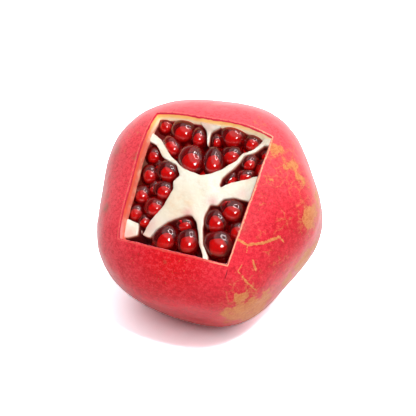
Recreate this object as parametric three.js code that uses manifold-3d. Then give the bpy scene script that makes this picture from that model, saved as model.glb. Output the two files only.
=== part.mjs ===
// An open pomegranate: one husk (peel, white core and septa, grown as one piece) with a four-sided
// window cut through its crown end, and the loose arils that fill the chambers seen through it.
// Millimetres, +Z up. The origin is level with the flat spot that the fruit rests on, under the middle
// of the fruit.
import * as THREE from 'three';
import { mergeVertices } from 'three/addons/utils/BufferGeometryUtils.js';
import Module from 'manifold-3d';

const wasm = await Module();
wasm.setup();

// ---- Driving dimensions -------------------------------------------------------------------------
const FRUIT_RADIUS = 44.5;          // mean radius across the fruit's axis
const CROWN_END = { height: 0.75, squareness: 2.7 };  // half height as a share of the radius; squareness
const STEM_END = { height: 0.88, squareness: 2.2 };   // 2 is an ellipsoid, more is a flatter end
const LOBES = [                     // ridges round the axis: how many, how high, turned by degrees
  [2, 0.012, -74],
  [3, 0.020, 24],
  [4, 0.019, -41],
  [5, 0.025, 5],
  [6, 0.011, -1],
  [7, 0.005, 7],
];
const STEM_HOLLOW = { depth: 0.05, spread: 0.2 };   // dimple round the stem, share of radius, radians
const STEM = { radius: 2.6, tip: 3.1, length: 9, buried: 5 };

const AXIS_ELEVATION = 54;          // the crown end looks this many degrees above the level
const REST_FLAT_DEPTH = 1.8;        // how much the resting spot is flattened

const PEEL = 4.6;                   // peel wall, skin to chamber
const WINDOW_CORNERS = [            // where the knife cuts cross, at WINDOW_LEVEL along the axis
  [-23, 25.5],
  [-20.5, -26.5],
  [21.7, -26],
  [23.6, 26],
];
const WINDOW_LEVEL = 26.5;
const CUT_APEX = [-2.6, -5.2, -57];  // the four knife cuts lean in towards this point
const STAR_TOP = 27.6;              // height of the white core's face on the fruit's axis
const STAR_FALL = 0.0048;           // the face falls by this times the distance squared
const CHAMBER_DEPTH = 18;           // chambers go this far below the middle of the core's face

const ARIL_SWELL = 1.1;             // arils press on each other: sizes below grow by this before they meet
const GAP = 0.3;                    // clear space between neighbouring pieces
const DETAIL = { around: 48, along: 32, innerAround: 32, innerAlong: 22, aril: 2, deepAril: 1 };

// ---- Chamber outlines, seen down the fruit's axis -----------------------------------------------
const CHAMBERS = {
  crown: [
    [2.2, 4.5], [-5.1, 5.5], [-12.4, 10], [-18.7, 16], [-25, 19], [-26, 29], [-12, 33], [-6.5, 31],
    [-5.4, 25.5], [-2.6, 23], [0.2, 16.8], [0.9, 16.9], [0.7, 22.6], [3.4, 25.6], [5, 31], [13, 32],
    [20, 29], [20.2, 24.4], [17.2, 19.4], [14.2, 17], [12.5, 13], [8.7, 8.2], [4.6, 5.5],
  ],
  right: [
    [20.8, 22.6], [17.9, 18.5], [15.2, 16.6], [13.2, 10.7], [9.9, 5.2], [9.7, 2.4], [10.8, 1.5],
    [11.9, 3.1], [20.9, 8.4], [27, 11], [27, 22],
  ],
  lowRight: [
    [8.9, -5.6], [11.5, -5.3], [12.9, -2.4], [16.4, -1], [21, -0.9], [28, -2], [28, -22], [22, -31],
    [14.5, -32], [13.5, -24.5], [10.2, -20.6], [8.4, -14.4], [7.9, -9.8],
  ],
  low: [
    [3.2, -11.2], [5.6, -13], [7.6, -17], [8.8, -20.6], [11.7, -24.8], [12, -32], [-6, -33],
    [-19, -30], [-19.8, -25.4], [-11, -24.6], [-8.8, -19.4], [-4.9, -15.4], [1.2, -11.6],
  ],
  left: [
    [-13.6, -22.8], [-11.8, -16.4], [-8.6, -10.8], [-6.5, -3], [-7.7, -0.3], [-6, 2.8], [-8.6, 6.6],
    [-15, 8.6], [-19.6, 13.4], [-27, 15], [-28, 0], [-26, -17], [-20.4, -17.8], [-15.2, -18.7],
  ],
};

// ---- Arils: x, y, width, length, turn in degrees, depth of the top below the core's face --------
const ARILS = {
  crown: [
    [-19.9, 23.4, 6.2, 6.4, 0, 1.0], [-11.6, 21.8, 9.6, 8.8, 10, 0.4], [-4.6, 20.4, 5.6, 7.2, 15, 0.8],
    [-14.2, 14.9, 8.8, 6.2, -40, 0.9], [-4.3, 10.8, 9.2, 11.6, 34, 0.1], [4.3, 12.0, 7.4, 11.2, 12, 0.1],
    [10.0, 16.0, 8.2, 7.0, 20, 1.0], [7.9, 24.0, 10.6, 9.2, 5, 0.2], [2.3, 20.6, 4.4, 5.4, 0, 2.0],
    [15.9, 22.8, 6.6, 6.2, 0, 0.6],
  ],
  right: [
    [17.1, 14.8, 6.4, 6.8, 0, 1.2], [22.0, 14.6, 6.2, 7.2, 0, 2.4], [17.4, 9.0, 8.8, 5.4, 28, 1.4],
    [12.3, 7.2, 4.8, 7.6, -30, 2.2], [22.0, 19.8, 4.6, 4.6, 0, 2.8],
  ],
  lowRight: [
    [16.3, -5.0, 10.0, 8.2, -5, 0.5], [12.0, -10.2, 8.8, 8.8, 0, 0.8], [20.2, -11.4, 6.8, 7.0, 0, 1.8],
    [14.8, -17.8, 11.2, 10.8, 0, 0.4], [18.6, -25.6, 8.0, 6.0, 0, 3.0], [23.0, -18.4, 6.0, 7.4, 0, 3.0],
  ],
  low: [
    [1.0, -14.4, 6.8, 5.8, 0, 1.6], [-5.2, -20.4, 10.8, 10.0, 0, 0.4], [3.9, -19.8, 8.0, 10.6, 12, 0.3],
    [-0.8, -28.0, 6.4, 5.0, 0, 2.8], [8.4, -27.2, 6.0, 5.4, 0, 3.0], [-13.4, -28.0, 8.0, 5.0, 0, 3.0],
  ],
  left: [
    [-20.2, 10.2, 6.6, 6.4, 0, 1.6], [-11.9, 4.4, 8.6, 8.4, 0, 0.4], [-18.8, 2.0, 6.4, 7.6, 10, 1.2],
    [-11.0, -3.4, 7.6, 7.0, 0, 0.9], [-19.3, -6.4, 6.4, 7.0, 0, 1.2], [-12.4, -10.4, 7.6, 7.2, 0, 1.0],
    [-19.6, -13.8, 5.8, 6.4, 0, 1.2], [-15.4, -16.0, 5.0, 5.6, 0, 2.4], [-15.4, -2.4, 5.0, 6.2, 0, 3.0],
    [-16.2, 6.0, 5.0, 5.4, 0, 2.8],
  ],
};
const DEEP_ARILS = {
  crown: [
    [-17, 19, 7, 7, 0, 6.2], [-8.4, 16.2, 8, 7, 0, 6.4], [4.8, 18.2, 7, 7, 0, 6.2],
    [12.6, 20.2, 7, 6, 0, 6.2], [0, 8.2, 7, 5, 0, 7],
  ],
  right: [[14.6, 12, 6, 6, 0, 5.4], [20.6, 11.4, 7, 6, 0, 6.6]],
  lowRight: [[16.4, -12.4, 8, 7, 0, 6.2], [11.6, -14.2, 6, 5, 0, 7], [20.4, -21.6, 8, 7, 0, 6.6]],
  low: [[-0.8, -17.8, 7, 7, 0, 6.2], [-0.4, -24.4, 8, 5, 0, 6.4], [-11.2, -25.6, 6, 5, 0, 7]],
  left: [[-15.8, -7.8, 7, 7, 0, 6], [-15.6, 2, 7, 7, 0, 6.6], [-15.8, -12.6, 6, 5, 0, 7]],
};

// ---- The fruit's own form, a radius for every direction -----------------------------------------
function fruitRadius(direction) {
  const along = direction.z;
  const across = Math.hypot(direction.x, direction.y);
  const { height, squareness } = along > 0 ? CROWN_END : STEM_END;
  const rounded = (across ** squareness + (Math.abs(along) / height) ** squareness) ** (-1 / squareness);
  const turn = Math.atan2(direction.y, direction.x);
  let ridge = 1;
  for (const [count, rise, degrees] of LOBES) {
    ridge += rise * across ** 2 * Math.cos(count * (turn - THREE.MathUtils.degToRad(degrees)));
  }
  const fromStem = Math.acos(THREE.MathUtils.clamp(-along, -1, 1));
  const hollow = 1 - STEM_HOLLOW.depth * Math.exp(-((fromStem / STEM_HOLLOW.spread) ** 2));
  return FRUIT_RADIUS * rounded * ridge * hollow;
}

const starFace = (x, y) => STAR_TOP - STAR_FALL * (x * x + y * y);

// ---- Solids -------------------------------------------------------------------------------------
function toSolid(geometry) {
  const bare = geometry.clone();
  bare.deleteAttribute('normal');
  bare.deleteAttribute('uv');
  const merged = mergeVertices(bare, 1e-5);
  return new wasm.Manifold(new wasm.Mesh({
    numProp: 3,
    vertProperties: new Float32Array(merged.attributes.position.array),
    triVerts: new Uint32Array(merged.index.array),
  }));
}

function toGeometry(solid) {
  const mesh = solid.getMesh();
  const geometry = new THREE.BufferGeometry();
  geometry.setAttribute('position', new THREE.BufferAttribute(new Float32Array(mesh.vertProperties), 3));
  geometry.setIndex(new THREE.BufferAttribute(new Uint32Array(mesh.triVerts), 1));
  geometry.computeVertexNormals();
  return geometry;
}

// A closed form about its own middle, pushed out to radiusOf(direction).
function radialForm(geometry, radiusOf) {
  const position = geometry.attributes.position;
  const point = new THREE.Vector3();
  for (let i = 0; i < position.count; i++) {
    point.fromBufferAttribute(position, i).normalize();
    point.multiplyScalar(radiusOf(point));
    position.setXYZ(i, point.x, point.y, point.z);
  }
  return geometry;
}

function fruitForm(around, along, inset) {
  const sphere = new THREE.SphereGeometry(1, around, along).rotateX(Math.PI / 2);
  return radialForm(sphere, (direction) => fruitRadius(direction) - inset);
}

// The space that the knife opened: between the four leaning cuts, from the core's face outwards.
function windowCut() {
  const apex = new THREE.Vector3(...CUT_APEX);
  const reach = 2;
  const far = WINDOW_CORNERS.map(([x, y]) => new THREE.Vector3(x, y, WINDOW_LEVEL).sub(apex)
    .multiplyScalar(reach).add(apex));
  const triangles = [];
  far.forEach((corner, i) => triangles.push(apex, far[(i + 1) % far.length], corner));
  triangles.push(far[0], far[1], far[2], far[0], far[2], far[3]);
  const geometry = new THREE.BufferGeometry().setFromPoints(triangles);
  const pyramid = toSolid(geometry);
  const rings = 14;
  const radius = 60;
  const floor = Array.from({ length: rings + 1 }, (_, i) => {
    const r = (radius * i) / rings;
    return new THREE.Vector2(r, starFace(r, 0));
  });
  const above = new THREE.LatheGeometry([...floor, new THREE.Vector2(radius, 90), new THREE.Vector2(0, 90)], 40);
  above.rotateX(Math.PI / 2);
  return pyramid.intersect(toSolid(above));
}

function chamberCut(outline, inside) {
  const shape = new THREE.Shape(outline.map(([x, y]) => new THREE.Vector2(x, y)));
  const bottom = STAR_TOP - CHAMBER_DEPTH;
  const prism = new THREE.ExtrudeGeometry(shape, { depth: CHAMBER_DEPTH + 10, bevelEnabled: false });
  prism.translate(0, 0, bottom);
  return toSolid(prism).intersect(inside);
}

function stemStub() {
  const stub = new THREE.CylinderGeometry(STEM.radius, STEM.tip, STEM.length, 14).rotateX(Math.PI / 2);
  const pole = fruitRadius(new THREE.Vector3(0, 0, -1));
  return toSolid(stub.translate(0, 0, -pole + STEM.buried - STEM.length / 2));
}

// ---- Arils, each flattened where it meets a neighbour, a septum or the peel ---------------------
function arilSpec([x, y, width, length, degrees, sink], detail, chamber) {
  const halfHeight = 1.2 + 0.18 * (width + length);
  const centre = new THREE.Vector3(x, y, starFace(x, y) - sink - halfHeight);
  const half = [(ARIL_SWELL * width) / 2, (ARIL_SWELL * length) / 2, halfHeight];
  return { centre, half, turn: THREE.MathUtils.degToRad(degrees), detail, chamber };
}

function ellipsoidRadius(aril, direction) {
  const cos = Math.cos(aril.turn);
  const sin = Math.sin(aril.turn);
  const x = (direction.x * cos + direction.y * sin) / aril.half[0];
  const y = (-direction.x * sin + direction.y * cos) / aril.half[1];
  const z = direction.z / aril.half[2];
  const fullness = 2.3;
  return (Math.abs(x) ** fullness + Math.abs(y) ** fullness + Math.abs(z) ** fullness) ** (-1 / fullness);
}

// Flat limits round one aril, as an outward direction and a distance from its centre.
function limitsOf(aril, all) {
  const limits = [];
  for (const other of all) {
    if (other === aril || other.chamber !== aril.chamber) continue;
    const direction = other.centre.clone().sub(aril.centre);
    const apart = direction.length();
    direction.divideScalar(apart);
    const mine = ellipsoidRadius(aril, direction);
    const theirs = ellipsoidRadius(other, direction);
    limits.push({ direction, distance: (apart * mine) / (mine + theirs) - GAP / 2 });
  }
  const outline = CHAMBERS[aril.chamber];
  outline.forEach(([x1, y1], i) => {
    const [x2, y2] = outline[(i + 1) % outline.length];
    const wall = new THREE.Line3(new THREE.Vector3(x1, y1, aril.centre.z), new THREE.Vector3(x2, y2, aril.centre.z));
    const direction = wall.closestPointToPoint(aril.centre, true, new THREE.Vector3()).sub(aril.centre);
    const distance = direction.length();
    limits.push({ direction: direction.divideScalar(distance), distance: distance - GAP });
  });
  const floor = aril.centre.z - (STAR_TOP - CHAMBER_DEPTH) - GAP;
  limits.push({ direction: new THREE.Vector3(0, 0, -1), distance: floor });
  return limits;
}

// Distance from the aril's centre to the peel's inner face, less the gap.
function roomToPeel(aril, direction) {
  const point = new THREE.Vector3();
  let near = 0;
  let far = 30;
  for (let step = 0; step < 24; step++) {
    const middle = (near + far) / 2;
    point.copy(direction).multiplyScalar(middle).add(aril.centre);
    const reach = point.length();
    if (reach < fruitRadius(point.clone().normalize()) - PEEL - 1.5 * GAP) near = middle;
    else far = middle;
  }
  return near;
}

function arilForm(aril, all) {
  const limits = limitsOf(aril, all);
  const softness = 14;
  const radiusOf = (direction) => {
    let sum = ellipsoidRadius(aril, direction) ** -softness + roomToPeel(aril, direction) ** -softness;
    for (const limit of limits) {
      const lean = direction.dot(limit.direction);
      if (lean > 0) sum += (lean / limit.distance) ** softness;
    }
    return sum ** (-1 / softness);
  };
  const ball = new THREE.IcosahedronGeometry(1, aril.detail);
  return toGeometry(toSolid(radialForm(ball, radiusOf)));
}

// ---- Assembly -----------------------------------------------------------------------------------
const huskMaterial = new THREE.MeshStandardMaterial({ color: 0xc8323a, roughness: 0.5, metalness: 0 });
const arilMaterial = new THREE.MeshStandardMaterial({ color: 0x9c0a12, roughness: 0.12, metalness: 0 });

const tilt = THREE.MathUtils.degToRad(90 - AXIS_ELEVATION);
const skin = toSolid(fruitForm(DETAIL.around, DETAIL.along, 0));
const inside = toSolid(fruitForm(DETAIL.innerAround, DETAIL.innerAlong, PEEL));

// The box of the fruit once it is tilted; the flat spot is cut just above its lowest point.
const box = skin.rotate([90 - AXIS_ELEVATION, 0, 0]).boundingBox();
const restLevel = box.min[2] + REST_FLAT_DEPTH;

function belowRest() {
  const size = 200;
  const block = new THREE.BoxGeometry(size, size, size).translate(0, 0, restLevel - size / 2);
  return toSolid(block.rotateX(-tilt));
}

let husk = skin.add(stemStub()).subtract(windowCut()).subtract(belowRest());
for (const outline of Object.values(CHAMBERS)) husk = husk.subtract(chamberCut(outline, inside));

const fruit = new THREE.Group();
fruit.rotation.x = tilt;
fruit.position.set(-(box.min[0] + box.max[0]) / 2, -(box.min[1] + box.max[1]) / 2, -restLevel);

const huskMesh = new THREE.Mesh(toGeometry(husk), huskMaterial);
huskMesh.name = 'husk';
fruit.add(huskMesh);

const specs = [];
for (const [table, detail] of [[ARILS, DETAIL.aril], [DEEP_ARILS, DETAIL.deepAril]]) {
  for (const [chamber, rows] of Object.entries(table)) {
    for (const row of rows) specs.push(arilSpec(row, detail, chamber));
  }
}
specs.forEach((aril, i) => {
  const mesh = new THREE.Mesh(arilForm(aril, specs), arilMaterial);
  mesh.name = `aril_${String(i + 1).padStart(2, '0')}`;
  mesh.position.copy(aril.centre);
  fruit.add(mesh);
});

const group = new THREE.Group();
group.add(fruit);

export default group;
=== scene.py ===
"""An open pomegranate: its leathery peel with a four-sided window, the white core and septa, and the arils.

Lengths in the fruit's own frame are millimetres, with Z along the fruit's axis towards the crown end.
Finished pieces are in metres in the shared frame, with Z up from the floor.
"""

import math

import bmesh
import bpy
import numpy as np
from mathutils import Matrix, Vector, noise
from mathutils.bvhtree import BVHTree
from mathutils.geometry import delaunay_2d_cdt
from mathutils.kdtree import KDTree


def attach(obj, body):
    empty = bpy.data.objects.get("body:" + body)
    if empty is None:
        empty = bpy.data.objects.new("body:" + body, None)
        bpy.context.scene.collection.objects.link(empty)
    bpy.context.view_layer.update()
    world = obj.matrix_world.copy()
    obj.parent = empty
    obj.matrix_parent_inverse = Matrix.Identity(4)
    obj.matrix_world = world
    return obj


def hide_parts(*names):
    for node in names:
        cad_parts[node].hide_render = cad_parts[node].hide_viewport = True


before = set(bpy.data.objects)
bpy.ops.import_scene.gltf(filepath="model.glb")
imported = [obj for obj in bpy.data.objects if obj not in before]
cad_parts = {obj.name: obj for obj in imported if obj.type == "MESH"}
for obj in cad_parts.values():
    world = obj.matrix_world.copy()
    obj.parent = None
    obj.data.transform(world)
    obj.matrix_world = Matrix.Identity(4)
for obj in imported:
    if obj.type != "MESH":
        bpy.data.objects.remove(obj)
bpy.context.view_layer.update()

# ---- Sizes ---------------------------------------------------------------------------------------
MM = 0.001
AXIS_ELEVATION = 54.0  # the crown end looks this many degrees above the level
REST_FLAT_DEPTH = 1.8  # how much the resting spot is flattened

FRUIT_FORM = {
    "Radius": 44.5,
    "Crown height": 0.75,
    "Crown squareness": 2.7,
    "Stem height": 0.88,
    "Stem squareness": 2.2,
    "Hollow depth": 0.05,
    "Hollow spread": 0.2,
    "Unevenness": 0.25,
}
RIDGES = (  # how many round the axis, how high as a share of the radius, turned by degrees
    (2, 0.012, -74),
    (3, 0.020, 24),
    (4, 0.019, -41),
    (5, 0.025, 5),
    (6, 0.011, -1),
    (7, 0.005, 7),
)
SWELLS = (  # centre, width and rise, a dent where the rise is below zero
    ((-12.0, -42.0, 11.0), 9.0, 0.8),
    ((12.0, -44.0, 5.0), 12.0, -1.4),
)

WINDOW_LEVEL = 26.5  # where along the axis the corners below are given
WINDOW_CORNERS = ((-23.0, 25.5), (-20.6, -25.9), (21.7, -26.0), (23.6, 26.0))
CUT_APEX = np.array((-2.6, -5.2, -57.0))  # the four knife cuts lean in towards this point
PEEL = 4.6  # thickness of the peel away from the window
STAR_TOP = 27.6  # height of the white core's face on the axis
STAR_FALL = 0.0048  # the face falls by this times the distance squared
POCKET_FLOOR = 9.6

# ---- Nodes ---------------------------------------------------------------------------------------


def srgb(red, green, blue):
    """A colour given as 0 to 255 on the display, as the linear colour that a shader takes."""
    linear = []
    for channel in (red, green, blue):
        share = channel / 255
        linear.append(share / 12.92 if share <= 0.04045 else ((share + 0.055) / 1.055) ** 2.4)
    return (*linear, 1.0)


class Bench:
    """Adds nodes to one tree and joins them up."""

    def __init__(self, tree):
        self.tree = tree

    def feed(self, socket, value):
        if isinstance(value, bpy.types.NodeSocket):
            self.tree.links.new(value, socket)
        else:
            socket.default_value = value

    def node(self, kind, inputs=None, **settings):
        made = self.tree.nodes.new(kind)
        for name, value in settings.items():
            setattr(made, name, value)
        for key, value in (inputs or {}).items():
            self.feed(made.inputs[key], value)
        return made

    def math(self, operation, first, second=0.0, third=0.0, clamp=False):
        inputs = {0: first, 1: second, 2: third}
        return self.node("ShaderNodeMath", inputs, operation=operation, use_clamp=clamp).outputs[0]

    def vector(self, operation, first, second=(0.0, 0.0, 0.0)):
        made = self.node("ShaderNodeVectorMath", {0: first, 1: second}, operation=operation)
        scalar = operation in ("DOT_PRODUCT", "LENGTH", "DISTANCE")
        return made.outputs["Value" if scalar else "Vector"]

    def scaled(self, vector, factor):
        made = self.node("ShaderNodeVectorMath", {0: vector, "Scale": factor}, operation="SCALE")
        return made.outputs["Vector"]

    def noise(self, vector, size, detail=3.0, roughness=0.55, colour=False):
        inputs = {"Vector": vector, "Scale": 1.0 / size, "Detail": detail, "Roughness": roughness}
        return self.node("ShaderNodeTexNoise", inputs).outputs[1 if colour else 0]

    def smooth(self, value, low, high, to_low=0.0, to_high=1.0):
        inputs = {0: value, 1: low, 2: high, 3: to_low, 4: to_high}
        return self.node("ShaderNodeMapRange", inputs, interpolation_type="SMOOTHSTEP").outputs[0]

    def mix(self, factor, first, second):
        inputs = {0: factor, 6: first, 7: second}
        return self.node("ShaderNodeMix", inputs, data_type="RGBA").outputs[2]

    def bell(self, away, width):
        """1 at no distance, falling smoothly to 0 over about twice the width."""
        share = self.math("DIVIDE", away, width)
        return self.math("EXPONENT", self.math("MULTIPLY", self.math("MULTIPLY", share, share), -1.0))

    def joined(self, x, y, z):
        return self.node("ShaderNodeCombineXYZ", {0: x, 1: y, 2: z}).outputs[0]


def new_tree(name, kind, inputs, outputs):
    """An empty node group with named sockets, and its input and output nodes."""
    tree = bpy.data.node_groups.new(name, kind)
    for label, (socket_type, value) in inputs.items():
        socket = tree.interface.new_socket(name=label, in_out="INPUT", socket_type=socket_type)
        if value is not None:
            socket.default_value = value
    for label, socket_type in outputs.items():
        tree.interface.new_socket(name=label, in_out="OUTPUT", socket_type=socket_type)
    bench = Bench(tree)
    return bench, bench.node("NodeGroupInput").outputs, bench.node("NodeGroupOutput").inputs


# ---- The fruit's own form ------------------------------------------------------------------------


def fruit_form_tree():
    """A sphere pushed out in every direction: flat-shouldered ends, soft ridges and a stem hollow."""
    floats = {label: ("NodeSocketFloat", value) for label, value in FRUIT_FORM.items()}
    floats["Material"] = ("NodeSocketMaterial", None)
    form = {"Form": "NodeSocketGeometry"}
    bench, given, result = new_tree("grown fruit form", "GeometryNodeTree", floats, form)
    ball = bench.node("GeometryNodeMeshUVSphere", {"Segments": 300, "Rings": 200, "Radius": 1.0})
    direction = bench.vector("NORMALIZE", bench.node("GeometryNodeInputPosition").outputs[0])
    axes = bench.node("ShaderNodeSeparateXYZ", {0: direction}).outputs
    flat = bench.joined(axes[0], axes[1], 0.0)
    across = bench.vector("LENGTH", flat)
    crown_side = bench.math("GREATER_THAN", axes[2], 0.0)

    def by_end(crown, stem):
        return bench.math("MULTIPLY_ADD", crown_side, bench.math("SUBTRACT", crown, stem), stem)

    height = by_end(given["Crown height"], given["Stem height"])
    power = by_end(given["Crown squareness"], given["Stem squareness"])
    along = bench.math("DIVIDE", bench.math("ABSOLUTE", axes[2]), height)
    total = bench.math("ADD", bench.math("POWER", across, power), bench.math("POWER", along, power))
    rounded = bench.math("POWER", total, bench.math("DIVIDE", -1.0, power))

    turn = bench.math("ARCTAN2", axes[1], axes[0])
    spread = bench.math("MULTIPLY", across, across)
    ridge = 1.0
    for count, rise, degrees in RIDGES:
        phase = bench.math("MULTIPLY", bench.math("SUBTRACT", turn, math.radians(degrees)), count)
        wave = bench.math("MULTIPLY", bench.math("MULTIPLY", bench.math("COSINE", phase), spread), rise)
        ridge = bench.math("ADD", wave, ridge)

    from_stem = bench.math("ARCCOSINE", bench.math("MULTIPLY", axes[2], -1.0))
    fade = bench.bell(from_stem, given["Hollow spread"])
    hollow = bench.math("SUBTRACT", 1.0, bench.math("MULTIPLY", fade, given["Hollow depth"]))

    lumps = bench.math("SUBTRACT", bench.noise(direction, 0.16, 2.0), 0.5)
    radius = bench.math("MULTIPLY", bench.math("MULTIPLY", rounded, ridge), hollow)
    radius = bench.math("MULTIPLY", radius, given["Radius"])
    radius = bench.math("MULTIPLY_ADD", lumps, bench.math("MULTIPLY", given["Unevenness"], 2.0), radius)
    for centre, width, rise in SWELLS:
        away = bench.vector("DISTANCE", bench.scaled(direction, given["Radius"]), centre)
        radius = bench.math("MULTIPLY_ADD", bench.bell(away, width), rise, radius)
    place = bench.scaled(direction, radius)
    shaped = bench.node("GeometryNodeSetPosition", {"Geometry": ball.outputs["Mesh"], "Position": place})
    real = bench.node("GeometryNodeRealizeInstances", {0: shaped.outputs[0]})
    coated = bench.node("GeometryNodeSetMaterial", {0: real.outputs[0], "Material": given["Material"]})
    bench.feed(result[0], coated.outputs[0])
    return bench.tree


def grown(name, tree, values):
    """Runs a Geometry Nodes tree with these values and returns the plain mesh."""
    carrier = bpy.data.objects.new(name, bpy.data.meshes.new(name))
    bpy.context.scene.collection.objects.link(carrier)
    modifier = carrier.modifiers.new("grow", "NODES")
    modifier.node_group = tree
    for socket in tree.interface.items_tree:
        if socket.item_type == "SOCKET" and socket.in_out == "INPUT" and socket.name in values:
            modifier[socket.identifier] = values[socket.name]
    bpy.context.view_layer.update()
    graph = bpy.context.evaluated_depsgraph_get()
    mesh = bpy.data.meshes.new_from_object(carrier.evaluated_get(graph))
    bpy.data.objects.remove(carrier)
    return mesh


def points_of(mesh):
    flat = np.empty(len(mesh.vertices) * 3, np.float32)
    mesh.vertices.foreach_get("co", flat)
    return flat.reshape(-1, 3).astype(float)


form_mesh = grown("fruit form", fruit_form_tree(), FRUIT_FORM)
form_points = points_of(form_mesh)
skin_tree = BVHTree.FromPolygons(form_points.tolist(), [list(p.vertices) for p in form_mesh.polygons])

TILT = np.array(Matrix.Rotation(math.radians(90.0 - AXIS_ELEVATION), 3, "X"))
tilted = form_points @ TILT.T
low, high = tilted.min(0), tilted.max(0)
STAND = np.array((-(low[0] + high[0]) / 2, -(low[1] + high[1]) / 2, -(low[2] + REST_FLAT_DEPTH)))


def to_shared(points):
    """Fruit millimetres to metres in the shared frame."""
    return (np.asarray(points, float) @ TILT.T + STAND) * MM


def to_fruit(points):
    """Metres in the shared frame to fruit millimetres."""
    return (np.asarray(points, float) / MM - STAND) @ TILT


def skin_beyond(start, direction):
    """Where a line from inside the fruit meets its skin."""
    return np.array(skin_tree.ray_cast(Vector(start), Vector(direction))[0])


def wave(point, size, seed=0.0):
    """Smooth noise from -1 to 1 at a fruit point, with features of about that size."""
    return noise.noise(Vector(point) / size + Vector((seed, -seed, 2 * seed)))


def new_piece(name, points, faces, materials, face_materials=None, attributes=None):
    """A mesh object in the shared frame from fruit points."""
    mesh = bpy.data.meshes.new(name)
    mesh.from_pydata(to_shared(points).tolist(), [], faces)
    for material in materials:
        mesh.materials.append(material)
    if face_materials is not None:
        mesh.polygons.foreach_set("material_index", np.asarray(face_materials, np.int32))
    for label, values in (attributes or {}).items():
        attribute = mesh.attributes.new(label, "FLOAT", "POINT")
        attribute.data.foreach_set("value", np.asarray(values, np.float32))
    mesh.polygons.foreach_set("use_smooth", np.ones(len(mesh.polygons), bool))
    mesh.validate()
    mesh.update()
    piece = bpy.data.objects.new(name, mesh)
    bpy.context.scene.collection.objects.link(piece)
    return piece


# ---- Materials -----------------------------------------------------------------------------------


def fruit_place(bench):
    """Object coordinates turned into fruit millimetres."""
    where = bench.node("ShaderNodeTexCoord").outputs["Object"]
    mapping = bench.node("ShaderNodeMapping", {"Vector": where}, vector_type="POINT")
    mapping.inputs["Location"].default_value = tuple(-STAND @ TILT)
    mapping.inputs["Rotation"].default_value = (math.radians(AXIS_ELEVATION - 90.0), 0.0, 0.0)
    mapping.inputs["Scale"].default_value = (1.0 / MM,) * 3
    return mapping.outputs[0]


def new_material(name, **plain):
    """A material with one Principled shader, its even values set on the shader's own sockets."""
    material = bpy.data.materials.new(name)
    material.use_nodes = True
    bench = Bench(material.node_tree)
    shader = material.node_tree.nodes["Principled BSDF"]
    for label, value in plain.items():
        shader.inputs[label.replace("_", " ")].default_value = value
    return material, bench, shader.inputs


def group(bench, tree, inputs):
    made = bench.tree.nodes.new("ShaderNodeGroup")
    made.node_tree = tree
    for label, value in inputs.items():
        bench.feed(made.inputs[label], value)
    return made.outputs


def mottle_group():
    """Soft blotches over fine grain, from 0 to 1 about one half."""
    inputs = {
        "Place": ("NodeSocketVector", None),
        "Blotch size": ("NodeSocketFloat", 9.0),
        "Grain size": ("NodeSocketFloat", 0.8),
        "Grain share": ("NodeSocketFloat", 0.4),
    }
    bench, given, result = new_tree("mottling", "ShaderNodeTree", inputs, {"Mottle": "NodeSocketFloat"})

    def field(size, detail):
        scale = bench.math("DIVIDE", 1.0, size)
        made = bench.node("ShaderNodeTexNoise", {"Vector": given["Place"], "Scale": scale, "Detail": detail})
        return made.outputs[0]

    blotch = field(given["Blotch size"], 3.0)
    grain = field(given["Grain size"], 2.0)
    share = given["Grain share"]
    rest = bench.math("SUBTRACT", 1.0, share)
    both = bench.math("ADD", bench.math("MULTIPLY", blotch, rest), bench.math("MULTIPLY", grain, share))
    bench.feed(result[0], bench.smooth(both, 0.32, 0.68))
    return bench.tree


def patch_group():
    """1 inside a ragged patch round a centre, fading outside it."""
    inputs = {
        "Place": ("NodeSocketVector", None),
        "Centre": ("NodeSocketVector", (0.0, 0.0, 0.0)),
        "Size": ("NodeSocketFloat", 5.0),
        "Weight": ("NodeSocketFloat", 1.0),
    }
    bench, given, result = new_tree("patch", "ShaderNodeTree", inputs, {"Weight": "NodeSocketFloat"})
    fade = bench.bell(bench.vector("DISTANCE", given["Place"], given["Centre"]), given["Size"])
    bench.feed(result[0], bench.math("MULTIPLY", fade, given["Weight"]))
    return bench.tree


def stroke_group():
    """1 along a line from one point to another, falling to 0 at its half width."""
    inputs = {
        "Place": ("NodeSocketVector", None),
        "From": ("NodeSocketVector", (0.0, 0.0, 0.0)),
        "To": ("NodeSocketVector", (1.0, 0.0, 0.0)),
        "Half width": ("NodeSocketFloat", 0.5),
    }
    bench, given, result = new_tree("stroke", "ShaderNodeTree", inputs, {"Mask": "NodeSocketFloat"})
    run = bench.vector("SUBTRACT", given["To"], given["From"])
    reach = bench.vector("SUBTRACT", given["Place"], given["From"])
    dots = bench.vector("DOT_PRODUCT", reach, run), bench.vector("DOT_PRODUCT", run, run)
    share = bench.math("DIVIDE", *dots, clamp=True)
    away = bench.vector("DISTANCE", reach, bench.scaled(run, share))
    fade = bench.math("SUBTRACT", 1.0, bench.math("DIVIDE", away, given["Half width"]), clamp=True)
    bench.feed(result[0], fade)
    return bench.tree


MOTTLING = mottle_group()
PATCH = patch_group()
STROKE = stroke_group()


def patches(bench, place, table):
    """The strongest of a table's patches at each place."""
    strongest = 0.0
    for centre, size, weight in table:
        inputs = {"Place": place, "Centre": centre, "Size": size, "Weight": weight}
        strongest = bench.math("MAXIMUM", group(bench, PATCH, inputs)[0], strongest)
    return strongest


def strokes(bench, place, table):
    """The strongest of a table's strokes at each place."""
    strongest = 0.0
    for start, end, half_width in table:
        inputs = {"Place": place, "From": start, "To": end, "Half width": half_width}
        strongest = bench.math("MAXIMUM", group(bench, STROKE, inputs)[0], strongest)
    return strongest


def mottling(bench, place, blotch, grain, share):
    inputs = {"Place": place, "Blotch size": blotch, "Grain size": grain, "Grain share": share}
    return group(bench, MOTTLING, inputs)[0]


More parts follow.
